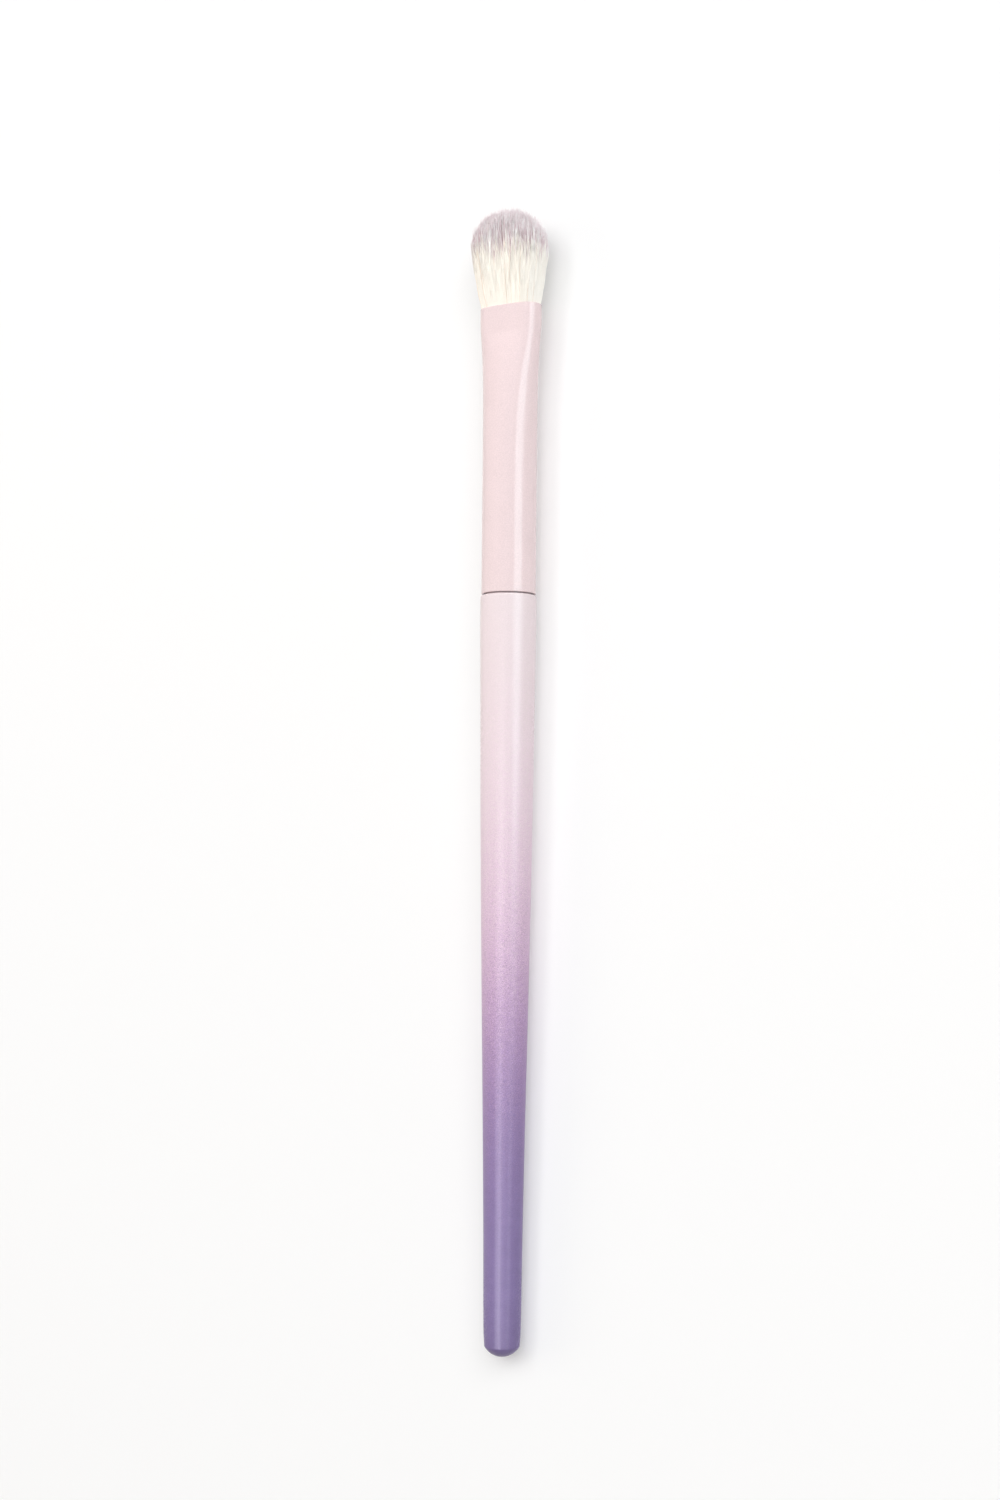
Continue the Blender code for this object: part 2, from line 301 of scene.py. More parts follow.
class Finish(Nodes):
    """A material as it is built: constant values sit on its shader, and node() adds what varies."""

    def __init__(self, name, **constants):
        self.material = bpy.data.materials.new(name)
        super().__init__(self.material)
        self.shader = self.tree.nodes["Principled BSDF"]
        for socket, value in constants.items():
            self.set(socket.replace("_", " ").title().replace("Ior", "IOR"), value)

    def set(self, socket, value):
        """A value or a link on one of the shader's own sockets."""
        self.feed(self.shader.inputs[socket], value)

    @cached_property
    def place(self):
        """The point of the surface, in metres."""
        return self.node("ShaderNodeTexCoord", {}, {}, "Object")

    def attribute(self, name):
        """A number that the mesh carries at each point."""
        return self.node("ShaderNodeAttribute", {"attribute_name": name}, {}, "Fac")

    def noise(self, size, detail=2.0):
        """Cloudy noise from 0 to 1 whose blobs have about this size in metres."""
        inputs = {"Vector": self.place, "Scale": 1 / size, "Detail": detail}
        return self.node("ShaderNodeTexNoise", {}, inputs, "Fac")

    def blend(self, amount, colour, other):
        """From the first colour to the other as the amount goes from 0 to 1."""
        settings = {"data_type": "RGBA", "clamp_factor": True}
        return self.node("ShaderNodeMix", settings, {0: amount, 6: colour, 7: other}, 2)

    def shade(self, colour, lightness):
        """The colour made lighter or darker by a number near 1."""
        settings = {"data_type": "RGBA", "blend_type": "MULTIPLY"}
        return self.node("ShaderNodeMix", settings, {0: 1.0, 6: colour, 7: lightness}, 2)

    def bump(self, height, depth):
        """Bumps the surface by this height, from 0 to 1, times the depth in metres."""
        inputs = {"Height": height, "Distance": depth, "Strength": 1.0}
        self.set("Normal", self.node("ShaderNodeBump", {}, inputs))


# The handle


class HandleSettings(bpy.types.PropertyGroup):
    """The handle's sizes and lacquer"""

    sides: whole("Sides", "Faces round the handle", 160)
    taper_rings: whole("Taper Rings", "Rings along the taper", 180)
    bend_steps: whole("Bend Steps", "Steps round each small bend", 6)
    dome_steps: whole("Dome Steps", "Rings on the end dome", 24)
    shoulder_bend: metres("Shoulder Bend", "Reach of the shoulder's rounding", 0.0002)
    rim_bend: metres("Rim Bend", "Reach of the butt rim's rounding", 0.00016)
    pink: tint("Pink", "Lacquer at the ferrule", (0.82, 0.718, 0.727))
    orchid: tint("Orchid", "First coat of the fade", (0.68, 0.34, 0.61))
    purple: tint("Purple", "Lacquer at the butt", (0.221, 0.170, 0.352))
    orchid_middle: metres("Orchid Middle", "Where orchid covers half, below the ferrule", 0.0530)
    orchid_reach: metres("Orchid Reach", "How slowly the orchid coat thickens", 0.0311)
    purple_middle: metres("Purple Middle", "Where purple covers half, below the ferrule", 0.0621)
    purple_reach: metres("Purple Reach", "How slowly the purple coat thickens", 0.0192)
    # Painted shade: the fade reaches further towards the ferrule on the right side, where the handle
    # lies in shade.
    shaded_side_skew: number("Skew", "How far the fade climbs for each metre across", 0.5)
    shaded_side_skew_middle: metres("Skew Middle", "Where across the brush the skew moves nothing", 0.0015)
    droplet_size: metres("Droplet Size", "Size of the sprayed speckle", 0.00015)
    speckle: number("Speckle", "Contrast of the droplets in a fade", 2.0)
    grain: number("Grain", "Contrast of the droplets elsewhere", 0.03)
    fleck_size: metres("Fleck Size", "Size of the lighter and darker dots", 0.00012)
    fleck: number("Fleck", "Contrast of those dots", 0.18)
    fade_fleck: number("Fade Fleck", "How much stronger they are in the fade", 22)
    cluster_size: metres("Cluster Size", "Size of the clusters of droplets", 0.00045)
    cluster: number("Cluster", "Contrast of the clusters all over", 0.05)
    purple_cluster: number("Purple Cluster", "What the purple coat adds to it", 0.10)
    cloud_size: metres("Cloud Size", "Size of the broad patches", 0.0016)
    cloud: number("Cloud", "Contrast of the broad patches all over", 0.03)
    purple_cloud: number("Purple Cloud", "What the purple coat adds to it", 0.15)
    # These three darken the lacquer over its last few millimetres towards the butt.
    butt_darkening_from: metres("Thick From", "Where the last coat thickens, below the ferrule", 0.102)
    butt_darkening_reach: metres("Thick Reach", "How slowly it thickens there", 0.009)
    butt_darkening: share("Thick Shade", "How much darker it gets", 0.1)
    gloss: share("Gloss", "Strength of the lacquer's shine", 0.175)
    roughness: share("Roughness", "Roughness of the lacquer", 0.27)
    fade_roughness: number("Fade Roughness", "What the fade's dry droplets add", 0.3)
    ripple_size: metres("Ripple Size", "Size of the ripples in the lacquer", 0.0008)
    ripple_depth: metres("Ripple Depth", "Depth of those ripples", 0.000006)


def lacquer(settings):
    """Sprayed satin lacquer: pale pink at the ferrule, through orchid in the fade, to purple, with the
    purple reaching further towards the ferrule on the right side as painted shade.
    """
    finish = Finish("fading_lacquer", specular_ior_level=settings.gloss)
    place = {"Vector": finish.place}
    x, y = (finish.node("ShaderNodeSeparateXYZ", {}, place, axis) for axis in "XY")
    below_joint = float(JOINT[1]) - y
    # Painted shade: the coats are shifted across the brush, so the right side, which is in shade, turns
    # purple sooner.
    sprayed_and_shaded_along = below_joint + settings.shaded_side_skew * (x - settings.shaded_side_skew_middle)
    droplets = finish.noise(settings.droplet_size, detail=3.0) - 0.5
    clusters = finish.noise(settings.cluster_size, detail=1.0) - 0.5
    speckle = droplets + clusters / 2

    def sprayed(middle, reach):
        """How much of a coat lies on each place, with painted shade on the right side: its edge is an S
        curve with droplets in it.
        """
        far = (sprayed_and_shaded_along - middle) / reach
        cover = 0.5 + 0.5 * far.maths("TANH", far)
        return cover + speckle * (cover * (1 - cover) * settings.speckle + settings.grain)

    orchid = sprayed(settings.orchid_middle, settings.orchid_reach)
    purple = sprayed(settings.purple_middle, settings.purple_reach)
    under = finish.blend(orchid, settings.pink, settings.orchid)
    coats = finish.blend(purple, under, settings.purple)
    fade = purple * (1 - purple)
    dots = finish.noise(settings.fleck_size, detail=1.0) - 0.5
    clouds = finish.noise(settings.cloud_size) - 0.5
    lightness = 1 + dots * (settings.fleck * (1 + settings.fade_fleck * fade))
    lightness = lightness + clusters * (settings.cluster + settings.purple_cluster * purple)
    lightness = lightness + clouds * (settings.cloud + settings.purple_cloud * purple)
    # Darker towards the butt.
    darker_to_butt = ((below_joint - settings.butt_darkening_from) / settings.butt_darkening_reach).clamped()
    finish.set("Base Color", finish.shade(coats, lightness - darker_to_butt * settings.butt_darkening))
    finish.set("Roughness", settings.roughness + settings.fade_roughness * fade)
    finish.bump(finish.noise(settings.ripple_size), settings.ripple_depth)
    return finish.material


def handle_outline(settings):
    """The handle from the tenon's end to the butt, as rows of radius and height, without its poles.

    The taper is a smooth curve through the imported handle's rings, and the end dome is a cap of the
    sphere through the rim and the butt's end.
    """
    heights, radii = turned_rings("handle")
    butt, tenon_corner, tenon_top = heights[0], heights[-2], heights[-1]
    tenon_radius = radii[-2]
    shoulder = heights[heights < 0].max()
    gaps = np.diff(heights)
    rim = 1 + np.argmax(gaps[1:] > DOME_RING_RATIO * gaps[:-1])
    rim_height, rim_radius = heights[rim], radii[rim]
    taper = (heights >= rim_height) & (heights < shoulder - settings.shoulder_bend / 2)
    knots, widths = heights[taper], radii[taper]
    places = np.linspace(knots[-1], knots[0], settings.taper_rings)
    curve = np.stack((smooth_through(knots, widths, places), places), axis=-1)
    tenon = np.array(((radii[-1], tenon_top), (tenon_radius, tenon_corner), (tenon_radius, shoulder)))
    corner = (widths[-1], shoulder)
    shoulder_bend = eased(tenon[-1], corner, curve[1], settings.shoulder_bend, settings.bend_steps)
    curve = curve[curve[:, 1] < shoulder_bend[-1, 1] - SAME_RING]
    dome_height = rim_height - butt
    sphere = (rim_radius**2 + dome_height**2) / (2 * dome_height)
    slope = np.linspace(math.asin(rim_radius / sphere), 0, settings.dome_steps + 1)[:-1]
    dome = np.stack((sphere * np.sin(slope), butt + sphere * (1 - np.cos(slope))), axis=-1)
    near_rim, corner = curve[-3], (rim_radius, rim_height)
    rim_bend = eased(near_rim, corner, dome[1], settings.rim_bend, settings.bend_steps)
    curve = curve[curve[:, 1] > rim_bend[0, 1] + SAME_RING]
    dome = dome[dome[:, 1] < rim_bend[-1, 1] - SAME_RING]
    return np.concatenate((tenon, shoulder_bend, curve, rim_bend, dome)), tenon_top, butt


class MAKEUP_BRUSH_OT_handle(bpy.types.Operator):
    """Turn the handle with its tenon, and lacquer it"""

    bl_idname = "makeup_brush.handle"
    bl_label = "Handle"

    def execute(self, context):
        """Each point of the outline goes round the long axis: radius times sine and cosine."""
        settings = context.scene.makeup_brush_handle
        outline, tenon_top, butt = handle_outline(settings)
        angle = np.linspace(0, math.tau, settings.sides, endpoint=False)[None, :]
        radius, along = outline[:, 0:1], outline[:, 1:2]
        rings = placed(radius * np.sin(angle), radius * np.cos(angle), along + 0 * angle)
        poles = (JOINT + ALONG * end for end in (tenon_top, butt))
        mesh = capped_mesh("lacquered_handle", rings, *poles)
        add_piece(mesh, lacquer(settings), "handle")
        return {"FINISHED"}


# The ferrule

QUARTER_POINTS = 40  # corners on each quarter of the tube's outline
QUARTER_SAMPLES = 900  # steps in which a quarter's curvature is summed


class FerruleSettings(bpy.types.PropertyGroup):
    """The ferrule's sizes and paint"""

    radius: metres("Radius", "Outside the round tube", 0.00405)
    wall: metres("Wall", "Thickness of the tube", 0.00035)
    mouth_width: metres("Mouth Width", "Over the pressed sides", 0.009984)
    mouth_thickness: metres("Mouth Thickness", "Over the two flats", 0.0048)
    flat_length: metres("Flat Length", "How far the flats run", 0.0042)
    side_length: metres("Side Length", "How far the sides run before they draw in", 0.003)
    fade_length: metres("Fade Length", "From the flats to the round tube", 0.034)
    press_power: number("Press Power", "How steeply the press fades from the flats", 4.6)
    crease: metres("Crease", "Softness of the crease below the flats", 0.00015)
    side_crease: metres("Side Crease", "Softness of the bend below the sides", 0.0006)
    mouth_softness: number("Mouth Softness", "How round the flats are at the mouth", 0.10)
    tube_softness: number("Tube Softness", "What the section gains towards the tube", 0.55)
    softness_reach: metres("Softness Reach", "How slowly it gains that", 0.009)
    rim_bend: metres("Rim Bend", "Rounding of the tube's edges", 0.00007)
    bend_steps: whole("Bend Steps", "Steps round each edge", 4)
    outer_rings: whole("Outer Rings", "Rings along the outside", 150)
    inner_rings: whole("Inner Rings", "Rings along the inside", 40)
    pink: tint("Pink", "The paint", (0.85, 0.696, 0.706))
    gloss: share("Gloss", "Strength of the paint's shine", 0.175)
    roughness: share("Roughness", "Roughness of the paint", 0.14)
    cloud_size: metres("Cloud Size", "Size of the darker patches", 0.004)
    cloud: number("Cloud", "Contrast of the darker patches", 0.6)
    cloud_lightness: share("Cloud Lightness", "Lightness of the darkest patch", 0.93)
    fleck_size: metres("Fleck Size", "Size of the flecks in the paint", 0.00017)
    fleck: number("Fleck", "Contrast of the flecks", 0.22)
    grain_size: metres("Grain Size", "Size of the fine bumps", 0.0003)
    ripple_size: metres("Ripple Size", "Size of the broad bumps", 0.0012)
    ripple: number("Ripple", "How many times higher the broad bumps are", 4)
    grain_depth: metres("Grain Depth", "Height of the fine bumps", 0.0000015)
    painted: share("Painted", "How deep into the rims the paint runs", 0.9)
    aluminium: tint("Aluminium", "The bare inside", (0.80, 0.80, 0.81))
    bare_roughness: number("Bare Roughness", "How much rougher the bare inside is", 0.2)


def pressed_sizes(settings, height):
    """Half width, half thickness and how soft the section's corners are at heights of the tube.

    Each half is the tube's radius plus its change at the mouth times a power that fades over the
    fade length. The softness nears that of the tube as a falling exponential.
    """
    past_flats = soft_ramp(FERRULE_LENGTH - settings.flat_length - height, settings.crease)
    past_sides = soft_ramp(FERRULE_LENGTH - settings.side_length - height, settings.side_crease)
    flat_press, side_press = (
        np.clip(1 - past / settings.fade_length, 0, 1) ** settings.press_power
        for past in (past_flats, past_sides)
    )
    half_width = settings.radius + side_press * (settings.mouth_width / 2 - settings.radius)
    half_thickness = settings.radius - flat_press * (settings.radius - settings.mouth_thickness / 2)
    faded = 1 - np.exp(-past_flats / settings.softness_reach)
    return half_width, half_thickness, settings.mouth_softness + settings.tube_softness * faded


def pressed_sections(half_width, half_thickness, softness):
    """A quarter of the outline for each row: across, up, and the direction that it faces.

    The radius of curvature is a constant plus a bump about the direction straight up, which is
    a bell curve of the sine. The two amounts are solved so that the outline reaches the half width
    and the half thickness. A narrow bump gives flats, and a wide one gives an oval.
    """
    facing = np.linspace(0, math.pi / 2, QUARTER_SAMPLES)[None, :]
    step = facing[0, 1]

    def summed(values):
        """The running sum of each row, by trapezia."""
        middles = (values[:, 1:] + values[:, :-1]) / 2 * step
        return np.concatenate((np.zeros((len(values), 1)), np.cumsum(middles, axis=1)), axis=1)

    bump = np.exp(-((np.sin(facing) / softness[:, None]) ** 2) / 2)
    wide = summed(bump * np.cos(facing))[:, -1]
    high = summed(bump * np.sin(facing))[:, -1]
    amount = (half_width - half_thickness) / (wide - high)
    base = half_width - amount * wide
    curvature = base[:, None] + amount[:, None] * bump
    walked = summed(curvature)
    across = summed(curvature * np.cos(facing))
    fallen = summed(curvature * np.sin(facing))
    even = np.linspace(0, 1, QUARTER_POINTS + 1)
    evened = [
        [np.interp(even * far[-1], far, line) for line in (aside, drop, facing[0])]
        for far, aside, drop in zip(walked, across, fallen)
    ]
    across, fallen, facing = np.array(evened).transpose(1, 0, 2)
    return across, half_thickness[:, None] - fallen, facing


def pressed_rings(settings, height, inset):
    """World points of the tube's outline at each height, moved straight inwards by the inset."""
    across, up, facing = pressed_sections(*pressed_sizes(settings, height))
    across = across - inset[:, None] * np.sin(facing)
    up = up - inset[:, None] * np.cos(facing)
    quarters = (across[:, :-1], across[:, :0:-1], -across[:, :-1], -across[:, :0:-1])
    across = np.concatenate(quarters, axis=1)
    up = np.concatenate((up[:, :-1], -up[:, :0:-1], -up[:, :-1], up[:, :0:-1]), axis=1)
    return placed(across, up, height[:, None] + 0 * across)


def wall_loop(settings):
    """The cut through the tube's wall, as a closed loop of heights and insets.

    It goes up the outside, over the mouth's rim, down the inside and under the lower rim, and
    each of its four corners is eased.
    """
    wall, bend, top = settings.wall, settings.rim_bend, FERRULE_LENGTH
    corners = ((0, 0), (top, 0), (top, wall), (0, wall))
    neighbours = zip(corners[-1:] + corners[:-1], corners, corners[1:] + corners[:1])
    bends = [eased(*three, bend, settings.bend_steps) for three in neighbours]
    rise = np.linspace(bend, top - bend, settings.outer_rings)[1:-1]
    fall = np.linspace(top - bend, bend, settings.inner_rings)[1:-1]
    outside = np.stack((rise, 0 * rise), axis=-1)
    inside = np.stack((fall, wall + 0 * fall), axis=-1)
    return np.concatenate((bends[0], outside, bends[1], bends[2], inside, bends[3]))


def satin_paint(settings):
    """Satin pale pink paint over the outside of the tube, which stays bare aluminium inside."""
    finish = Finish("satin_paint", specular_ior_level=settings.gloss)
    bare = finish.attribute("bare")
    patches = 0.5 + settings.cloud * (finish.noise(settings.cloud_size) - 0.5)
    darker = tuple(settings.cloud_lightness * channel for channel in settings.pink)
    lightness = 1 + settings.fleck * (finish.noise(settings.fleck_size, detail=1.0) - 0.5)
    paint = finish.shade(finish.blend(patches, settings.pink, darker), lightness)
    finish.set("Base Color", finish.blend(bare, paint, settings.aluminium))
    finish.set("Metallic", bare)
    finish.set("Roughness", settings.roughness + settings.bare_roughness * bare)
    broad = settings.ripple * finish.noise(settings.ripple_size, detail=1.0)
    finish.bump(finish.noise(settings.grain_size) + broad, settings.grain_depth)
    return finish.material


class MAKEUP_BRUSH_OT_ferrule(bpy.types.Operator):
    """Draw the ferrule, press its mouth flat, and paint it"""

    bl_idname = "makeup_brush.ferrule"
    bl_label = "Ferrule"

    def execute(self, context):
        """The cut through the wall follows the tube's outline round."""
        settings = context.scene.makeup_brush_ferrule
        loop = wall_loop(settings)
        rings = pressed_rings(settings, loop[:, 0], loop[:, 1])
        rows, columns = rings.shape[:2]
        faces = rings_to_faces(rows, columns, True)
        mesh = closed_mesh("painted_ferrule", rings.reshape(-1, 3), faces, np.empty((0, 3), int))
        carry(mesh, "bare", np.repeat(loop[:, 1] > settings.wall * settings.painted, columns))
        add_piece(mesh, satin_paint(settings), "ferrule")
        return {"FINISHED"}


# The tuft

# How far up a hair each ring stands and its tip ends, and how thick the hair is at each ring
HEIGHT_SHARES = np.array((0.0, 0.13, 0.26, 0.38, 0.49, 0.60, 0.70, 0.79, 0.87, 0.93, 0.975, 1.0))
RADIUS_SHARES = np.array((1.12, 1.12, 1.12, 1.10, 1.06, 1.0, 0.93, 0.86, 0.74, 0.58, 0.38))
HAIR_SIDES = 3
TUFT_PIECES = 4


class TuftSettings(bpy.types.PropertyGroup):
    """The tuft's shape, hairs and colours"""

    seed: IntProperty(name="Seed", description="Of the chance in the hairs", default=11)
    width: metres("Width", "Over the fanned sides", 0.0121)
    thickness: metres("Thickness", "Over the fanned faces", 0.0060)
    middle_length: metres("Middle Length", "From the mouth to the top", 0.0148)
    side_length: metres("Side Length", "From the mouth to the side tips", 0.0098)
    dome_depth: share("Dome Depth", "How far the dome falls towards the faces", 0.85)
    slant: metres("Slant", "How much longer the left side is", 0.0005)
    lean: metres("Lean", "How far the top leans across", -0.00038)
    fan_height: metres("Fan Height", "Where the fan is fully open", 0.0100)
    fan_power: number("Fan Power", "How soon the fan opens", 1.3)
    draw_in: share("Draw In", "How much the tuft narrows in one more fan height", 0.05)
    bulge: metres("Bulge", "How far the hairs swell over the rim", 0.0002)
    hair_radius: metres("Hair Radius", "Radius of a hair", 0.000048)
    radius_spread: share("Radius Spread", "How much thinner or thicker hairs are", 0.15)
    hair_pitch: metres("Hair Pitch", "Between hairs at the root", 0.000066)
    root_shift: share("Root Shift", "How far chance moves a root, in pitches", 0.3)
    length_spread: metres("Length Spread", "How hairs and clumps differ in length", 0.00022)
    short_hairs: share("Short Hairs", "How many hairs end early", 0.2)
    short_drop: metres("Short Drop", "The most that they lose", 0.0016)
    clump_pitch: metres("Clump Pitch", "Between clumps of hairs", 0.00017)
    clump_blur: number("Clump Blur", "How ragged clumps are, in pitches", 0.35)
    gather: share("Gather", "How far a tip is drawn to its clump's middle", 0.66)
    sway: metres("Sway", "How far clumps bend over", 0.00007)
    stray: metres("Stray", "How far single hairs bend over", 0.00008)
    free_hairs: share("Free Hairs", "How many hairs leave their clump", 0.06)
    free_gather: share("Free Gather", "How far their tips are drawn in", 0.1)
    free_stray: metres("Free Stray", "How far they bend over", 0.00030)
    stray_limit: number("Stray Limit", "The most that chance bends a hair, in strays", 1.5)
    wave: metres("Wave", "How far a hair waves from side to side", 0.00006)
    wave_length: metres("Wave Length", "Length of one wave", 0.0085)
    wave_rise: metres("Wave Rise", "Height over which the waves grow", 0.003)
    root_depth: metres("Root Depth", "From the mouth to the glued roots", 0.0006)
    root_thickness: metres("Root Thickness", "Of the glued slice", 0.0015)
    cream: tint("Cream", "The lower hairs", (1.0, 0.975, 0.918))
    tan: tint("Tan", "The odd warm hair", (0.88, 0.72, 0.60))
    mauve: tint("Mauve", "Tips with the most dye", (0.6305, 0.45845, 0.4956))
    undyed: tint("Undyed", "Tips with no dye", WHITE)
    dye_height: metres("Dye Height", "Where the cream turns mauve, above the mouth", 0.0095)
    dye_blur: metres("Dye Blur", "Length of a hair's colour change", 0.0016)
    dye_droop: metres("Dye Droop", "How much lower the dye starts at the sides", 0.0010)
    dark_droop: metres("Dark Droop", "How much lower it starts on dark hairs", 0.0011)
    dye_spread: metres("Dye Spread", "How its start differs from hair to hair", 0.0009)
    clump_dye_spread: metres("Clump Dye Spread", "How it differs between clumps", 0.0005)
    dark_hairs: share("Dark Hairs", "How many hairs take the most dye", 0.22)
    light_tone: share("Light Tone", "How pale the other hairs' tips are", 0.75)
    tone_spread: number("Tone Spread", "How that differs from hair to hair", 0.18)
    clump_tone_spread: number("Clump Tone Spread", "How it differs between clumps", 0.15)
    warmth: share("Warmth", "The most tan that is in every hair", 0.1)
    warm_hairs: share("Warm Hairs", "How many hairs are much warmer", 0.07)
    extra_warmth: share("Extra Warmth", "How much warmer those are", 0.5)
    even_from: metres("Even From", "Where tips begin to look alike, above the dye", 0.0027)
    even_reach: metres("Even Reach", "How slowly they do", 0.0014)
    even_amount: share("Even Amount", "How alike they get", 0.75)
    even_tone: share("Even Tone", "How pale the last of the tips is", 0.55)
    # Painted shade: the cream darkens near the ferrule's mouth, where shade falls among the roots.
    root_shade_from: metres("Dim From", "Where the cream begins to dim, below the dye", 0.0065)
    root_shade_reach: metres("Dim Reach", "How slowly it dims", 0.003)
    root_shade: share("Dim", "How much it dims at the mouth", 0.05)
    epoxy: tint("Epoxy", "The glue between the fibres", (0.70, 0.60, 0.40))
    fibre_pitch: metres("Fibre Pitch", "Between cut fibre ends in the glue", 0.00009)
    fibre_contrast: number("Fibre Contrast", "How soon a fibre's end turns to glue", 1.2)


def hair_roots(settings, halves, chance):
    """Where hairs stand in the mouth, as across and up: staggered rows, each place shifted by chance.

    The halves are half the mouth's width and half its thickness, inside the wall.
    """
    half_width, half_thickness = halves
    pitch = settings.hair_pitch
    row_pitch = pitch * math.sqrt(3) / 2
    rows = int(half_thickness / row_pitch) + 1
    columns = int(half_width / pitch) + 1
    row, column = np.mgrid[-rows : rows + 1, -columns : columns + 1]
    places = np.stack((column * pitch + pitch / 2 * (row % 2), row * row_pitch), axis=-1)
    places = places.reshape(-1, 2)
    places += chance.uniform(-settings.root_shift, settings.root_shift, places.shape) * pitch
    flat = half_width - half_thickness
    reach = np.hypot(np.maximum(np.abs(places[:, 0]) - flat, 0), places[:, 1])
    return places[reach < half_thickness - settings.hair_radius]


def clumps_of(settings, roots, chance):
    """Each hair's clump, and the middle of that clump's roots. Clumps are ragged squares."""
    ragged = settings.clump_blur * chance.standard_normal(roots.shape)
    cells = np.floor(roots / settings.clump_pitch + ragged).astype(int)
    clump = np.unique(cells, axis=0, return_inverse=True)[1].ravel()
    members = np.bincount(clump)
    middles = np.stack([np.bincount(clump, roots[:, part]) / members for part in (0, 1)], axis=-1)
    return clump, middles


def varied(chance, clump, own, shared):
    """A number for each hair: one of its own by chance plus one that its clump shares."""
    alone = own * chance.standard_normal(len(clump))
    return alone + shared * chance.standard_normal(clump.max() + 1)[clump]


def hair_paths(settings, halves, roots, clump, middles, chance):
    """Points along each hair, as across, up and height over the mouth.

    A hair is its root's place, drawn towards its clump's middle near its tip, times one plus the fan.
    It sways with its clump and strays a little by itself. Its length is the side length plus half an
    ellipsoid over the mouth, and some hairs are short. It starts a quarter of the way into the glued
    slice. The arrays go by hair, station and axis.
    """
    count, clumps = len(roots), len(middles)
    aside, layer = (roots / halves).T
    dome = np.sqrt(np.clip(1 - aside**2 - settings.dome_depth * layer**2, 0, 1))
    length = settings.side_length + (settings.middle_length - settings.side_length) * dome
    length -= settings.slant * aside
    length += varied(chance, clump, settings.length_spread, settings.length_spread)
    length -= settings.short_drop * (chance.random(count) < settings.short_hairs) * chance.random(count)
    length = length[:, None, None]
    bottom = -settings.root_depth - settings.root_thickness / 4
    height = bottom + (length - bottom) * HEIGHT_SHARES[:, None]
    rise = np.clip(height / settings.fan_height, 0, 1)
    fan = 1 - (1 - rise) ** settings.fan_power
    swell = settings.bulge * (1 - np.exp(-np.clip(height, 0, None) / (2 * settings.bulge)))
    free = (chance.random(count) < settings.free_hairs)[:, None, None]
    gather = np.where(free, settings.free_gather, settings.gather) * np.clip(height / length, 0, 1) ** 3
    drawn = roots[:, None] + (middles[clump] - roots)[:, None] * gather
    bend = np.clip(height / settings.middle_length, 0, None) ** 2
    sway = settings.sway * chance.standard_normal((clumps, 1, 2))[clump]
    stray = chance.standard_normal((count, 1, 2)).clip(-settings.stray_limit, settings.stray_limit)
    stray = stray * np.where(free, settings.free_stray, settings.stray)
    turns = height / settings.wave_length + chance.random((count, 1, 2))
    wave = settings.wave * np.clip(height / settings.wave_rise, 0, 1) * np.sin(math.tau * turns)
    places = drawn + bend * (sway + stray) + wave
    spread = np.array((settings.width, settings.thickness)) / 2 / halves - 1
    places = places * (1 + spread * fan) + places / halves * swell
    over = np.clip(height - settings.fan_height, 0, None) / settings.fan_height
    places = places * (1 - settings.draw_in * over**2) + rise * np.array((settings.lean, 0))
    return np.concatenate((places, height), axis=-1)


def hair_mesh(name, paths, radius):
    """Three-sided pointed rods: a ring round each point of a path, one face at its root, and its last
    point as the tip."""
    hairs, stations = len(paths), len(RADIUS_SHARES)
    angle = math.tau * np.arange(HAIR_SIDES) / HAIR_SIDES
    ring = np.stack((np.sin(angle), np.cos(angle), 0 * angle), axis=-1)
    radii = radius[:, None] * RADIUS_SHARES
    rings = paths[:, :-1, None, :] + radii[:, :, None, None] * ring
    points = np.concatenate((rings.reshape(hairs, -1, 3), paths[:, -1:, :]), axis=1)
    quads = rings_to_faces(stations, HAIR_SIDES, False)
    start = np.arange(HAIR_SIDES)
    after = (start + 1) % HAIR_SIDES
    top = (stations - 1) * HAIR_SIDES
    point = np.full(HAIR_SIDES, stations * HAIR_SIDES)
    fans = np.concatenate(([[2, 1, 0]], np.stack((top + start, top + after, point), axis=-1)))
    offset = np.arange(hairs)[:, None, None] * points.shape[1]
    across, up, height = points.reshape(-1, 3).T
    points = placed(across, up, FERRULE_LENGTH + height)
    return closed_mesh(name, points, (quads + offset).reshape(-1, 4), (fans + offset).reshape(-1, 3))


def hair_colours(settings, aside, clump, chance):
    """For each hair: where its dye begins, how pale its tip is, and how warm its cream is."""
    count = len(clump)
    dark = chance.random(count) < settings.dark_hairs
    tone = np.where(dark, 0, settings.light_tone)
    tone = tone + varied(chance, clump, settings.tone_spread, settings.clump_tone_spread)
    warm = settings.warmth * chance.random(count)
    warm = warm + settings.extra_warmth * (chance.random(count) < settings.warm_hairs)
    line = settings.dye_height - settings.dye_droop * aside**2 - settings.dark_droop * dark
    line = line + varied(chance, clump, settings.dye_spread, settings.clump_dye_spread)
    return line, tone, warm


def dyed_hair(settings):
    """Soft dyed fibre: cream, then mauve above each hair's own dye line, with darker and tan hairs, and
    painted shade on the cream near the mouth.
    """
    finish = Finish("dyed_hair", roughness=0.6, specular_ior_level=0.3)
    over = finish.attribute("over_dye_line")
    tone = finish.attribute("tone")
    even = ((over - settings.even_from) / settings.even_reach).clamped() * settings.even_amount
    mauve = finish.blend(tone + even * (settings.even_tone - tone), settings.mauve, settings.undyed)
    # Painted shade on the cream near the mouth.
    root_shade = ((-settings.root_shade_from - over) / settings.root_shade_reach).clamped() * settings.root_shade
    cream = finish.shade(finish.blend(finish.attribute("warm"), settings.cream, settings.tan), 1 - root_shade)
    finish.set("Base Color", finish.blend(over / settings.dye_blur + 0.5, cream, mauve))
    return finish.material


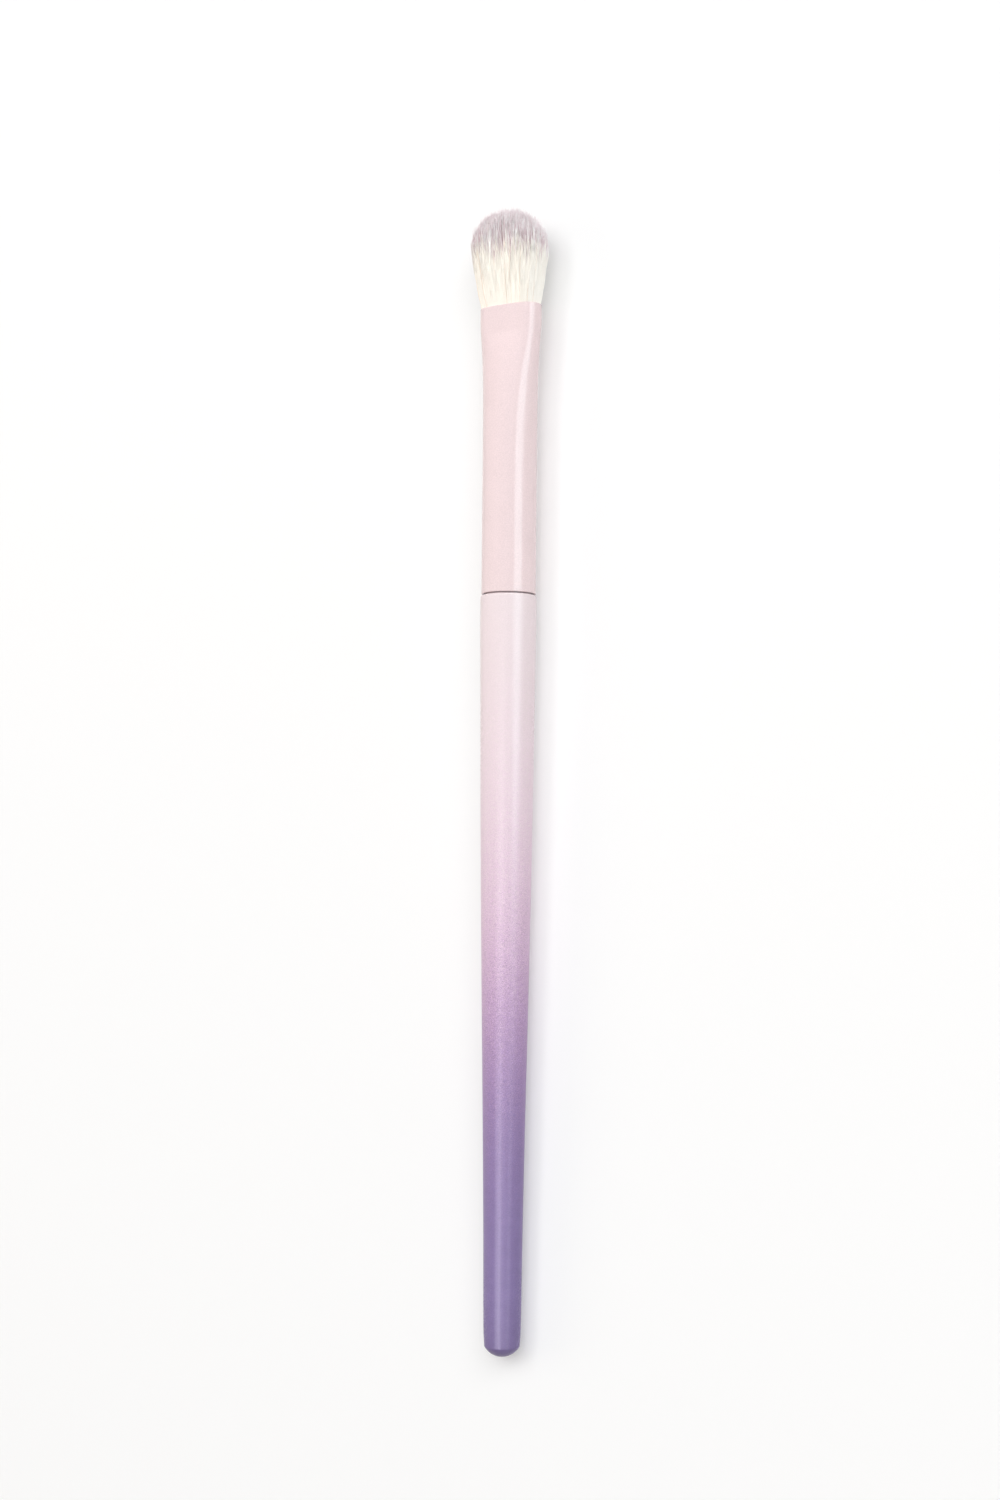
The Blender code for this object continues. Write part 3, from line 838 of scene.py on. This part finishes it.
def epoxy_between_fibres(settings):
    """Cured epoxy between cut fibre ends, which are spots a pitch apart."""
    finish = Finish("epoxy_between_fibres", roughness=0.35, specular_ior_level=0.5)
    inputs = {"Vector": finish.place, "Scale": 1 / settings.fibre_pitch}
    spots = finish.node("ShaderNodeTexVoronoi", {}, inputs, "Distance") * settings.fibre_contrast
    finish.set("Base Color", finish.blend(spots, settings.cream, settings.epoxy))
    return finish.material


def add_root_slice(settings, ferrule):
    """The glued slice that the hairs stand in: the tube's outline, moved in by its wall, with its two
    edges cut off at a slant."""
    top = FERRULE_LENGTH - settings.root_depth
    bottom = top - settings.root_thickness
    edge, bend = ferrule.wall + ferrule.rim_bend / 2, ferrule.rim_bend
    heights = np.array((top, top - bend, bottom + bend, bottom))
    insets = np.array((edge + bend, edge, edge, edge + bend))
    poles = (JOINT + ALONG * end for end in (top, bottom))
    mesh = capped_mesh("root_slice", pressed_rings(ferrule, heights, insets), *poles)
    add_piece(mesh, epoxy_between_fibres(settings), "bristle_tuft")


class MAKEUP_BRUSH_OT_tuft(bpy.types.Operator):
    """Set the hairs in the ferrule's mouth, fanned out and domed"""

    bl_idname = "makeup_brush.tuft"
    bl_label = "Tuft"

    def execute(self, context):
        """The hairs go to the pieces in turn, so that each piece is the whole tuft, thinned."""
        settings = context.scene.makeup_brush_tuft
        ferrule = context.scene.makeup_brush_ferrule
        chance = np.random.default_rng(settings.seed)
        halves = np.array((ferrule.mouth_width, ferrule.mouth_thickness)) / 2 - ferrule.wall
        roots = hair_roots(settings, halves, chance)
        clump, middles = clumps_of(settings, roots, chance)
        paths = hair_paths(settings, halves, roots, clump, middles, chance)
        spread = settings.radius_spread
        radius = settings.hair_radius * chance.uniform(1 - spread, 1 + spread, len(roots))
        line, tone, warm = hair_colours(settings, roots[:, 0] / halves[0], clump, chance)
        finish = dyed_hair(settings)
        for part in range(TUFT_PIECES):
            chosen = slice(part, None, TUFT_PIECES)
            mesh = hair_mesh("hairs_%d" % (part + 1), paths[chosen], radius[chosen])
            over = paths[chosen, :, 2] - line[chosen, None]
            over = np.concatenate((np.repeat(over[:, :-1], HAIR_SIDES, axis=1), over[:, -1:]), axis=1)
            carry(mesh, "over_dye_line", over)
            carry(mesh, "tone", np.repeat(tone[chosen], over.shape[1]))
            carry(mesh, "warm", np.repeat(warm[chosen], over.shape[1]))
            add_piece(mesh, finish, "bristle_tuft")
        add_root_slice(settings, ferrule)
        return {"FINISHED"}


# The glue


class GlueSettings(bpy.types.PropertyGroup):
    """The look of the handle's glue"""

    pale: tint("Pale", "The clearer glue", (0.84, 0.80, 0.66))
    deep: tint("Deep", "The thicker glue", (0.72, 0.66, 0.50))
    cloud_size: metres("Cloud Size", "Size of its patches", 0.0012)
    depth: metres("Depth", "Depth of its hollows", 0.00005)


def cured_glue(settings):
    """Cured glue in soft patches, which are hollows too."""
    finish = Finish("cured_glue", roughness=0.4, specular_ior_level=0.5)
    cloud = finish.noise(settings.cloud_size, detail=3.0)
    finish.set("Base Color", finish.blend(cloud, settings.pale, settings.deep))
    finish.bump(cloud, settings.depth)
    return finish.material


class MAKEUP_BRUSH_OT_glue(bpy.types.Operator):
    """Give the glued roots and the handle's glue their finishes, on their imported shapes"""

    bl_idname = "makeup_brush.glue"
    bl_label = "Glue"

    def execute(self, context):
        """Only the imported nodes' materials change."""
        finishes = {
            "bonded_root": epoxy_between_fibres(context.scene.makeup_brush_tuft),
            "handle_glue": cured_glue(context.scene.makeup_brush_glue),
        }
        for name, finish in finishes.items():
            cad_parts[name].material_slots[0].material = finish
        return {"FINISHED"}


# The stage


class StageSettings(bpy.types.PropertyGroup):
    """The table, the lamps and the camera"""

    floor_size: metres("Floor Size", "Of the table", 3.0)
    floor: tint("Floor", "The table's colour", (0.90, 0.90, 0.90))
    floor_glow: share("Floor Glow", "How far its shadows are lifted to white", 0.3)
    sky: number("Sky", "Strength of the light from all round", 0.25)
    backdrop: number("Backdrop", "Brightness of the backdrop", 0.75)
    lamp_distance: metres("Lamp Distance", "From the brush to each lamp", 1.5)
    camera_height: metres("Camera Height", "From the brush to the camera", 0.308)
    camera_round: radians("Camera Round", "How far round the brush it stands", math.radians(31))
    camera_tip: radians("Camera Tip", "How far it tips towards the tuft", math.radians(3.2))
    camera_roll: radians("Camera Roll", "How far the picture turns", math.radians(0.52))
    below_joint: metres("Below Joint", "From the joint down to under the camera", 0.0404)
    aside: metres("Aside", "How far to the left of the brush it stands", 0.001066)


class Lamp(NamedTuple):
    """A soft rectangular lamp. Its angles start from the camera's side of the brush."""

    name: str
    turn: float  # degrees to the right
    tip: float  # degrees towards the tuft
    width: float  # in metres, over the brush
    power: float  # in watts
    colour: tuple = WHITE


FOCAL_LENGTH = 50  # in millimetres
SENSOR_WIDTH = 36  # in millimetres
NEAREST_SEEN = 0.01
LAMP_LENGTH = 1.0  # along the brush
WARM = (1.0, 0.85, 0.7)
COOL = (0.75, 0.97, 1.0)
# These light the brush and make no highlight
LIGHTS = (
    Lamp("ceiling", -6, 28, 1.5, 18.2),
    Lamp("left_wall", -50, 22, 0.44, 6.2),
    Lamp("far_wall", -92, 0, 0.6, 3.5, WARM),
)
# These make the highlights and give no other light
SHINES = (
    Lamp("window", -15, -19, 1.73, 24.0),
    Lamp("window_core", -21, -18, 0.30, 11.0),
    Lamp("window_edge", -40, -19, 0.27, 4.9),
    Lamp("left_glow", -85, 0, 2.1, 6.2),
    Lamp("strip", 39, 18, 0.90, 25.5, COOL),
    Lamp("low_strip", 34, -18, 0.44, 7.0),
)


def turned(axis, other, angle):
    """One axis turned by this angle towards another that is square to it."""
    return math.cos(angle) * axis + math.sin(angle) * other


def viewing_axes(settings):
    """Towards the camera, and to the right as the camera sees it, both square to the brush."""
    angle = settings.camera_round
    return turned(UP, ACROSS, angle), turned(ACROSS, -UP, angle)


def stand(name, data, axes, place):
    """An object at this place whose own X, Y and Z point along the axes."""
    holder = bpy.data.objects.new(name, data)
    pointed = Matrix([Vector(axis) for axis in axes]).transposed()
    holder.matrix_world = Matrix.Translation(Vector(place)) @ pointed.to_4x4()
    bpy.context.scene.collection.objects.link(holder)
    return holder


def add_camera(settings):
    """A camera at the photograph's angle, for a picture that is half as high again as it is wide."""
    towards, rightward = viewing_axes(settings)
    back = turned(towards, -ALONG, settings.camera_tip)
    upward = turned(ALONG, towards, settings.camera_tip)
    right = turned(rightward, upward, settings.camera_roll)
    top = turned(upward, -rightward, settings.camera_roll)
    place = JOINT - ALONG * settings.below_joint + towards * settings.camera_height
    place = place - rightward * settings.aside
    lens = bpy.data.cameras.new("camera")
    lens.lens, lens.sensor_width = FOCAL_LENGTH, SENSOR_WIDTH
    lens.clip_start = NEAREST_SEEN
    bpy.context.scene.camera = stand("camera", lens, (right, top, back), place)


def add_lamp(settings, lamp, shines):
    """A lamp at its angles round the point under the camera, aimed at that point."""
    towards, rightward = viewing_axes(settings)
    foot = JOINT - ALONG * settings.below_joint
    back = turned(towards, rightward, math.radians(lamp.turn))
    back = turned(back, ALONG, math.radians(lamp.tip))
    side = ALONG - back * (ALONG @ back)
    side = side / np.linalg.norm(side)
    light = bpy.data.lights.new(lamp.name, "AREA")
    light.shape = "RECTANGLE"
    light.size, light.size_y = LAMP_LENGTH, lamp.width
    light.energy = lamp.power
    light.color = lamp.colour
    axes = (side, np.cross(back, side), back)
    holder = stand(lamp.name, light, axes, foot + back * settings.lamp_distance)
    holder.visible_camera = False
    holder.visible_diffuse = not shines
    holder.visible_glossy = shines


def add_sky(settings):
    """Faint light from all round, which the camera and shiny surfaces see as a pale backdrop."""
    world = bpy.data.worlds.new("sky")
    bpy.context.scene.world = world
    sky = Nodes(world)
    background = sky.tree.nodes["Background"]
    strength = settings.sky + (settings.backdrop - settings.sky) * sky.seen()
    sky.feed(background.inputs["Color"], WHITE)
    sky.feed(background.inputs["Strength"], strength)


def table_top(settings):
    """A matt table, whose shadows are lifted towards white only where it is looked at."""
    finish = Finish("table", roughness=0.7, specular_ior_level=0.2)
    finish.set("Base Color", settings.floor)
    lit = Socket(finish, finish.shader.outputs["BSDF"])
    white = finish.node("ShaderNodeEmission", {}, {"Strength": 1.0})
    inputs = {0: settings.floor_glow * finish.seen(), 1: lit, 2: white}
    glowing = finish.node("ShaderNodeMixShader", {}, inputs)
    finish.feed(finish.tree.nodes["Material Output"].inputs["Surface"], glowing)
    return finish.material


class MAKEUP_BRUSH_OT_stage(bpy.types.Operator):
    """Set the table, the lamps and the camera"""

    bl_idname = "makeup_brush.stage"
    bl_label = "Stage"

    def execute(self, context):
        """The table is one level square, round the frame's origin."""
        settings = context.scene.makeup_brush_stage
        half = settings.floor_size / 2
        corners = [(-half, -half, 0), (half, -half, 0), (half, half, 0), (-half, half, 0)]
        mesh = bpy.data.meshes.new("table")
        mesh.from_pydata(corners, [], [(0, 1, 2, 3)])
        mesh.materials.append(table_top(settings))
        floor = bpy.data.objects.new("table", mesh)
        context.scene.collection.objects.link(floor)
        add_camera(settings)
        for lamp in LIGHTS + SHINES:
            add_lamp(settings, lamp, lamp in SHINES)
        add_sky(settings)
        context.scene.view_settings.view_transform = "Standard"
        return {"FINISHED"}


# The add-on


class MAKEUP_BRUSH_PT_panel(bpy.types.Panel):
    """Lists the brush's pieces"""

    bl_idname = "MAKEUP_BRUSH_PT_panel"
    bl_label = "Makeup Brush"
    bl_space_type = "VIEW_3D"
    bl_region_type = "UI"
    bl_category = "Makeup Brush"

    def draw(self, context):
        """One button for each operator."""
        for operator in OPERATORS:
            self.layout.operator(operator.bl_idname)


OPERATORS = (
    MAKEUP_BRUSH_OT_handle,
    MAKEUP_BRUSH_OT_ferrule,
    MAKEUP_BRUSH_OT_tuft,
    MAKEUP_BRUSH_OT_glue,
    MAKEUP_BRUSH_OT_stage,
)
SETTINGS = {
    "makeup_brush_handle": HandleSettings,
    "makeup_brush_ferrule": FerruleSettings,
    "makeup_brush_tuft": TuftSettings,
    "makeup_brush_glue": GlueSettings,
    "makeup_brush_stage": StageSettings,
}
CLASSES = (*SETTINGS.values(), *OPERATORS, MAKEUP_BRUSH_PT_panel)


def register():
    """Adds the classes, and the settings of each piece to every scene."""
    for kind in CLASSES:
        bpy.utils.register_class(kind)
    for name, kind in SETTINGS.items():
        setattr(bpy.types.Scene, name, PointerProperty(type=kind))


def unregister():
    """Takes away what register adds."""
    for name in SETTINGS:
        delattr(bpy.types.Scene, name)
    for kind in reversed(CLASSES):
        bpy.utils.unregister_class(kind)


def main():
    """Makes the brush and its stage."""
    register()
    bpy.ops.makeup_brush.handle()
    bpy.ops.makeup_brush.ferrule()
    bpy.ops.makeup_brush.tuft()
    bpy.ops.makeup_brush.glue()
    bpy.ops.makeup_brush.stage()


if __name__ == "__main__":
    main()
